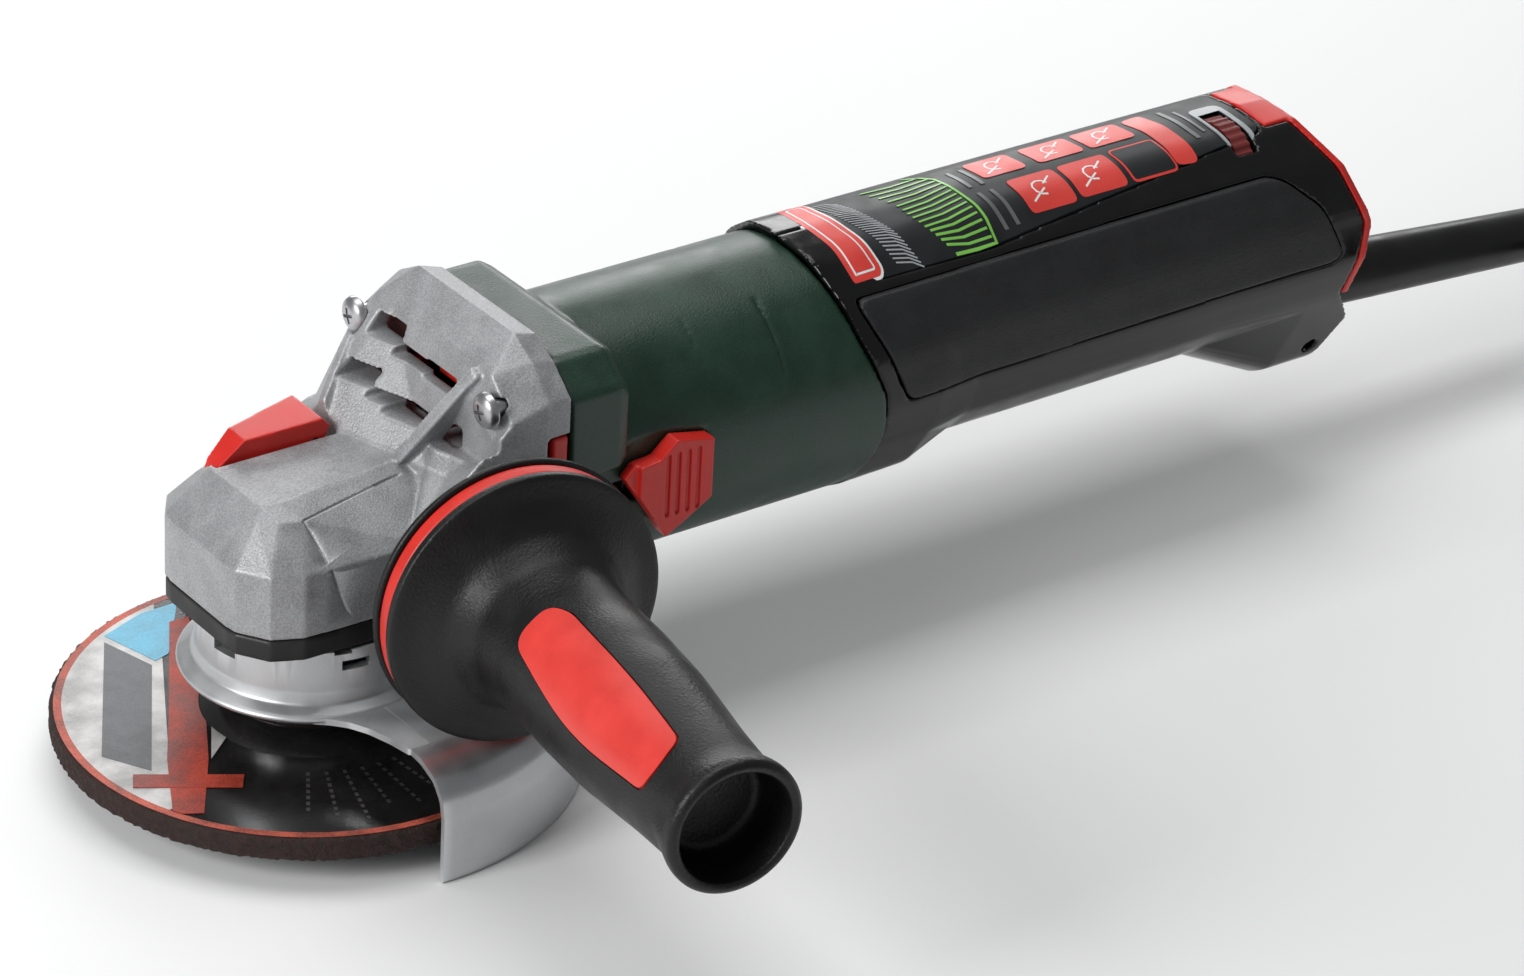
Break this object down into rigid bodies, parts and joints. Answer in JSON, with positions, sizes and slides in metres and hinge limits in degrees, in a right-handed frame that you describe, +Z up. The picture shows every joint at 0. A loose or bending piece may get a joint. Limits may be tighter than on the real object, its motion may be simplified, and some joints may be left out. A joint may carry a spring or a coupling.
{
  "type": "angle grinder",
  "caption": "Corded angle grinder with a cast gear head, disc guard, grinding disc, leaning side handle, slide switch, speed wheel and a coiled mains cord.",
  "frame": {"origin": "middle of the box around the tool without its cord, on the surface that the guard stands on", "axes": "+Z up along the disc spindle, +X back along the motor axis from the disc to the cord, the side handle points to -Y"},
  "size_m": [0.6425, 0.233, 0.112],
  "materials": {
    "cast_aluminium": "fine sand-cast grain, satin",
    "steel": "machined",
    "guard_steel": "satin sheet steel with blurred bright highlights",
    "copper": "enamelled winding wire",
    "black_paint": "satin black",
    "black_plastic": "satin with a fine moulded grain",
    "soft_grip": "matt textured soft plastic",
    "green_plastic": "fine moulded grain with a soft sheen",
    "red_plastic": "satin",
    "label_print": "printed label, satin gloss",
    "abrasive": "resin-bonded grit with a printed label on its upper face",
    "rubber": "satin",
    "brass": "satin",
    "capacitor_sleeve": "shrink sleeve"
  },
  "bodies": {
    "tool_body": {"gear_housing": "cast_aluminium", "bearing_flange": "black_paint", "gearhead_screw_1": "steel", "gearhead_screw_2": "steel", "gearhead_screw_3": "steel", "gearhead_screw_4": "steel", "air_guide": "red_plastic", "lock_spring": "steel", "upper_spindle_bearing": "steel", "lower_spindle_bearing": "steel", "motor_housing": "green_plastic", "front_motor_bearing": "steel", "rear_motor_bearing": "steel", "stator_core": "steel", "stator_winding_front": "copper", "stator_winding_rear": "copper", "rear_bearing_bracket": "black_plastic", "handle_shell_left": "black_plastic", "handle_shell_right": "black_plastic", "grip_pad_left": "soft_grip", "grip_pad_right": "soft_grip", "top_panel": "label_print", "rear_frame": "red_plastic", "rear_grille": "black_plastic", "electronics_module": "black_plastic", "capacitor_1": "capacitor_sleeve", "capacitor_2": "capacitor_sleeve", "power_switch": "black_plastic", "cord_clamp": "black_plastic", "clamp_screw_1": "steel", "clamp_screw_2": "steel", "side_handle_grip": "soft_grip", "damper_ring": "red_plastic", "side_handle_base": "black_plastic", "side_handle_stud": "steel", "side_handle_badge": "red_plastic", "cord_sleeve": "rubber", "power_cord": "rubber", "cord_coil": "rubber", "cord_tail": "rubber", "mains_plug": "rubber", "plug_pin_1": "brass", "plug_pin_2": "brass"},
    "spindle_unit": {"spindle": "steel", "crown_gear": "steel", "inner_flange": "steel", "grinding_disc": "abrasive", "clamp_nut": "black_paint"},
    "rotor_unit": {"rotor_shaft": "steel", "rotor_core": "steel", "motor_fan": "black_plastic", "pinion_gear": "steel"},
    "guard_unit": {"guard": "guard_steel"},
    "switch_unit": {"slide_switch": "red_plastic", "switch_rod": "black_plastic"},
    "speed_wheel_unit": {"speed_wheel": "black_plastic", "speed_wheel_shaft": "steel"},
    "lever_unit": {"quick_lever": "red_plastic", "lever_pin": "steel"},
    "lock_unit": {"lock_pin": "steel"}
  },
  "joints": [
    {"name": "spindle_spin", "type": "hinge", "parent": "tool_body", "child": "spindle_unit", "pos_m": [-0.16958, 0.0492, 0.02], "axis": [0, 0, 1], "continuous": true},
    {"name": "rotor_spin", "type": "hinge", "parent": "tool_body", "child": "rotor_unit", "pos_m": [-0.09957, 0.0492, 0.071], "axis": [1, 0, 0], "continuous": true},
    {"name": "guard_swivel", "type": "hinge", "parent": "tool_body", "child": "guard_unit", "pos_m": [-0.16958, 0.0492, 0.04], "axis": [0, 0, 1], "range_deg": [-120, 120]},
    {"name": "switch_slide", "type": "slide", "parent": "tool_body", "child": "switch_unit", "axis": [-1, 0, 0], "range_m": [0, 0.009]},
    {"name": "speed_wheel_turn", "type": "hinge", "parent": "tool_body", "child": "speed_wheel_unit", "pos_m": [0.10543, 0.04369, 0.0933], "axis": [1, 0, 0], "range_deg": [-150, 150]},
    {"name": "lever_lift", "type": "hinge", "parent": "tool_body", "child": "lever_unit", "pos_m": [-0.16078, 0.05919, 0.07675], "axis": [0, 1, 0], "range_deg": [0, 45]},
    {"name": "lock_press", "type": "slide", "parent": "tool_body", "child": "lock_unit", "axis": [0, 0, -1], "range_m": [0, 0.0022], "deforming": ["lock_spring"]}
  ],
  "couplings": [
    {"joint": "rotor_spin", "follows": "spindle_spin", "ratio": 3.1},
    {"joint": "lever_lift", "follows": "lock_press", "rad_per_m": 356.9}
  ]
}
